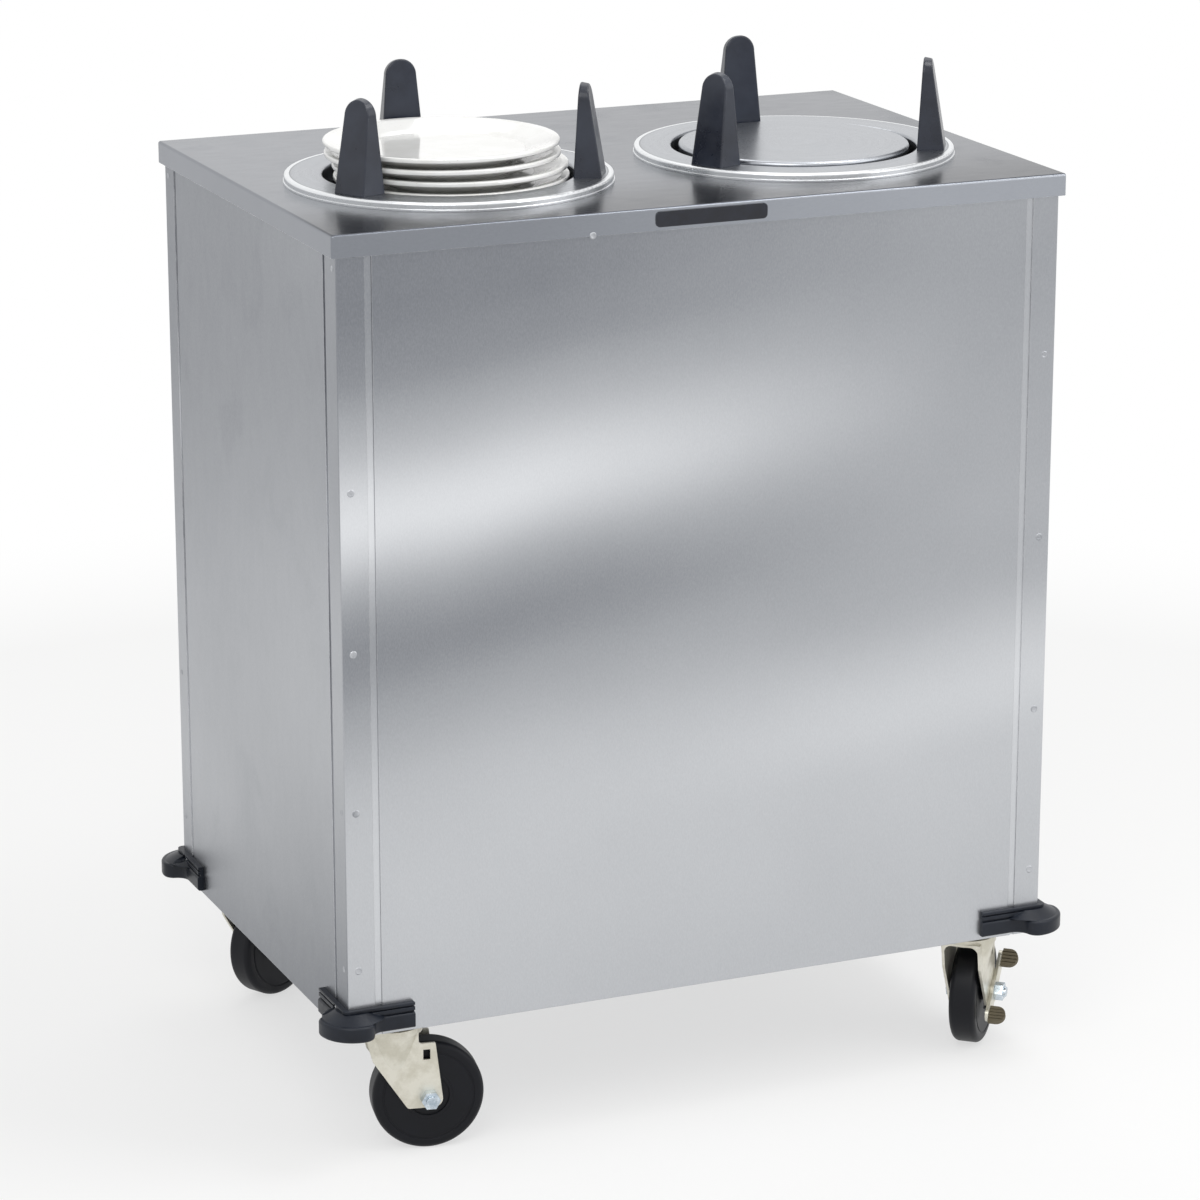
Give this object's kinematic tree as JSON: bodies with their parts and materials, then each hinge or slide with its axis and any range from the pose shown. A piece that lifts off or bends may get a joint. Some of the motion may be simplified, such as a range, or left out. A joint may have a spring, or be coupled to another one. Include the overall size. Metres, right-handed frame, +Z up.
{
  "type": "plate dispenser cart",
  "caption": "Enclosed brushed-steel cart on four swivel casters that holds stacks of dinner plates in sprung, self-levelling dispensers with upright plastic guides.",
  "frame": {"origin": "on the floor under the middle of the cart", "axes": "+X to the right along the length, -Y to the front (the face under the bare plate on the lid), +Z up"},
  "size_m": [0.918, 0.638, 1.1674],
  "materials": {
    "brushed_body": "brushed, upright grain",
    "brushed_deck": "brushed, grain along the length",
    "collar_steel": "bright brushed",
    "plain_steel": "mill",
    "guide_plastic": "moulded, satin",
    "bumper_rubber": "moulded vinyl",
    "rivet_steel": "pressed",
    "name_blank": "bare dark enamel",
    "caster_zinc": "zinc plated, warm",
    "bolt_zinc": "zinc plated, bright",
    "tyre_rubber": "solid rubber",
    "hub_steel": "zinc plated",
    "pad_rubber": "ribbed",
    "spring_steel": "drawn wire",
    "dish_glaze": "glazed, off-white",
    "ball_steel": "polished"
  },
  "bodies": {
    "cabinet": {"top_deck": "brushed_deck", "base_pan": "plain_steel", "name_plate": "name_blank", "front_panel": "brushed_body", "back_panel": "brushed_body", "left_panel": "brushed_body", "right_panel": "brushed_body", "front_left_post": "brushed_body", "front_left_bumper": "bumper_rubber", "front_right_post": "brushed_body", "front_right_bumper": "bumper_rubber", "back_left_post": "brushed_body", "back_left_bumper": "bumper_rubber", "back_right_post": "brushed_body", "back_right_bumper": "bumper_rubber", "bumper_rivets": "rivet_steel", "left_collar": "collar_steel", "left_tube": "plain_steel", "left_dispenser_back_guide": "guide_plastic", "left_dispenser_left_guide": "guide_plastic", "left_dispenser_right_guide": "guide_plastic", "right_collar": "collar_steel", "right_tube": "plain_steel", "right_dispenser_back_guide": "guide_plastic", "right_dispenser_left_guide": "guide_plastic", "right_dispenser_right_guide": "guide_plastic", "guide_screws": "bolt_zinc", "caster_plates": "caster_zinc", "swivel_balls": "ball_steel", "caster_bolts": "bolt_zinc"},
    "left_carrier": {"left_carrier": "collar_steel", "left_spider": "plain_steel", "left_springs": "spring_steel"},
    "right_carrier": {"right_carrier": "collar_steel", "right_spider": "plain_steel", "right_springs": "spring_steel"},
    "plate_1": {"plate_1": "dish_glaze"},
    "plate_2": {"plate_2": "dish_glaze"},
    "plate_3": {"plate_3": "dish_glaze"},
    "plate_4": {"plate_4": "dish_glaze"},
    "front_left_fork": {"front_left_fork": "caster_zinc", "front_left_axle": "bolt_zinc"},
    "front_left_wheel": {"front_left_tyre": "tyre_rubber", "front_left_wheel_hub": "hub_steel"},
    "front_right_fork": {"front_right_fork": "caster_zinc", "front_right_axle": "bolt_zinc"},
    "front_right_wheel": {"front_right_tyre": "tyre_rubber", "front_right_wheel_hub": "hub_steel"},
    "back_left_fork": {"back_left_fork": "caster_zinc", "back_left_axle": "bolt_zinc"},
    "back_left_wheel": {"back_left_tyre": "tyre_rubber", "back_left_wheel_hub": "hub_steel"},
    "back_right_fork": {"back_right_fork": "caster_zinc", "back_right_axle": "bolt_zinc"},
    "back_right_wheel": {"back_right_tyre": "tyre_rubber", "back_right_wheel_hub": "hub_steel"},
    "front_right_brake": {"front_right_brake_lever": "caster_zinc", "front_right_brake_pads": "pad_rubber"},
    "back_right_brake": {"back_right_brake_lever": "caster_zinc", "back_right_brake_pads": "pad_rubber"}
  },
  "joints": [
    {"name": "left_carrier_slide", "type": "slide", "parent": "cabinet", "child": "left_carrier", "axis": [0, 0, 1], "range_m": [-0.531, 0.029], "stiffness_N_per_m": 740, "springref_m": 0.07285, "deforming": ["left_springs"]},
    {"name": "right_carrier_slide", "type": "slide", "parent": "cabinet", "child": "right_carrier", "axis": [0, 0, 1], "range_m": [-0.56, 0], "stiffness_N_per_m": 740, "springref_m": 0.04385, "deforming": ["right_springs"]},
    {"name": "plate_1_lift", "type": "slide", "parent": "left_carrier", "child": "plate_1", "axis": [0, 0, 1], "range_m": [0, 0.135]},
    {"name": "plate_2_lift", "type": "slide", "parent": "plate_1", "child": "plate_2", "axis": [0, 0, 1], "range_m": [0, 0.135]},
    {"name": "plate_3_lift", "type": "slide", "parent": "plate_2", "child": "plate_3", "axis": [0, 0, 1], "range_m": [0, 0.135]},
    {"name": "plate_4_lift", "type": "slide", "parent": "plate_3", "child": "plate_4", "axis": [0, 0, 1], "range_m": [0, 0.135]},
    {"name": "front_left_swivel", "type": "hinge", "parent": "cabinet", "child": "front_left_fork", "pos_m": [-0.361, -0.243, 0.13], "axis": [0, 0, 1], "continuous": true},
    {"name": "front_left_wheel_spin", "type": "hinge", "parent": "front_left_fork", "child": "front_left_wheel", "pos_m": [-0.3237, -0.25025, 0.0635], "axis": [-0.1908, -0.9816, 0], "continuous": true},
    {"name": "front_right_swivel", "type": "hinge", "parent": "cabinet", "child": "front_right_fork", "pos_m": [0.361, -0.243, 0.13], "axis": [0, 0, 1], "continuous": true},
    {"name": "front_right_wheel_spin", "type": "hinge", "parent": "front_right_fork", "child": "front_right_wheel", "pos_m": [0.38593, -0.21432, 0.0635], "axis": [0.7547, -0.6561, 0], "continuous": true},
    {"name": "front_right_brake_rock", "type": "hinge", "parent": "front_right_fork", "child": "front_right_brake", "pos_m": [0.38593, -0.21432, 0.0635], "axis": [0.7547, -0.6561, 0], "range_deg": [0, 24]},
    {"name": "back_left_swivel", "type": "hinge", "parent": "cabinet", "child": "back_left_fork", "pos_m": [-0.361, 0.243, 0.13], "axis": [0, 0, 1], "continuous": true},
    {"name": "back_left_wheel_spin", "type": "hinge", "parent": "back_left_fork", "child": "back_left_wheel", "pos_m": [-0.32776, 0.26142, 0.0635], "axis": [0.4848, -0.8746, 0], "continuous": true},
    {"name": "back_right_swivel", "type": "hinge", "parent": "cabinet", "child": "back_right_fork", "pos_m": [0.361, 0.243, 0.13], "axis": [0, 0, 1], "continuous": true},
    {"name": "back_right_wheel_spin", "type": "hinge", "parent": "back_right_fork", "child": "back_right_wheel", "pos_m": [0.342, 0.21009, 0.0635], "axis": [-0.866, 0.5, 0], "continuous": true},
    {"name": "back_right_brake_rock", "type": "hinge", "parent": "back_right_fork", "child": "back_right_brake", "pos_m": [0.342, 0.21009, 0.0635], "axis": [-0.866, 0.5, 0], "range_deg": [0, 24]}
  ]
}
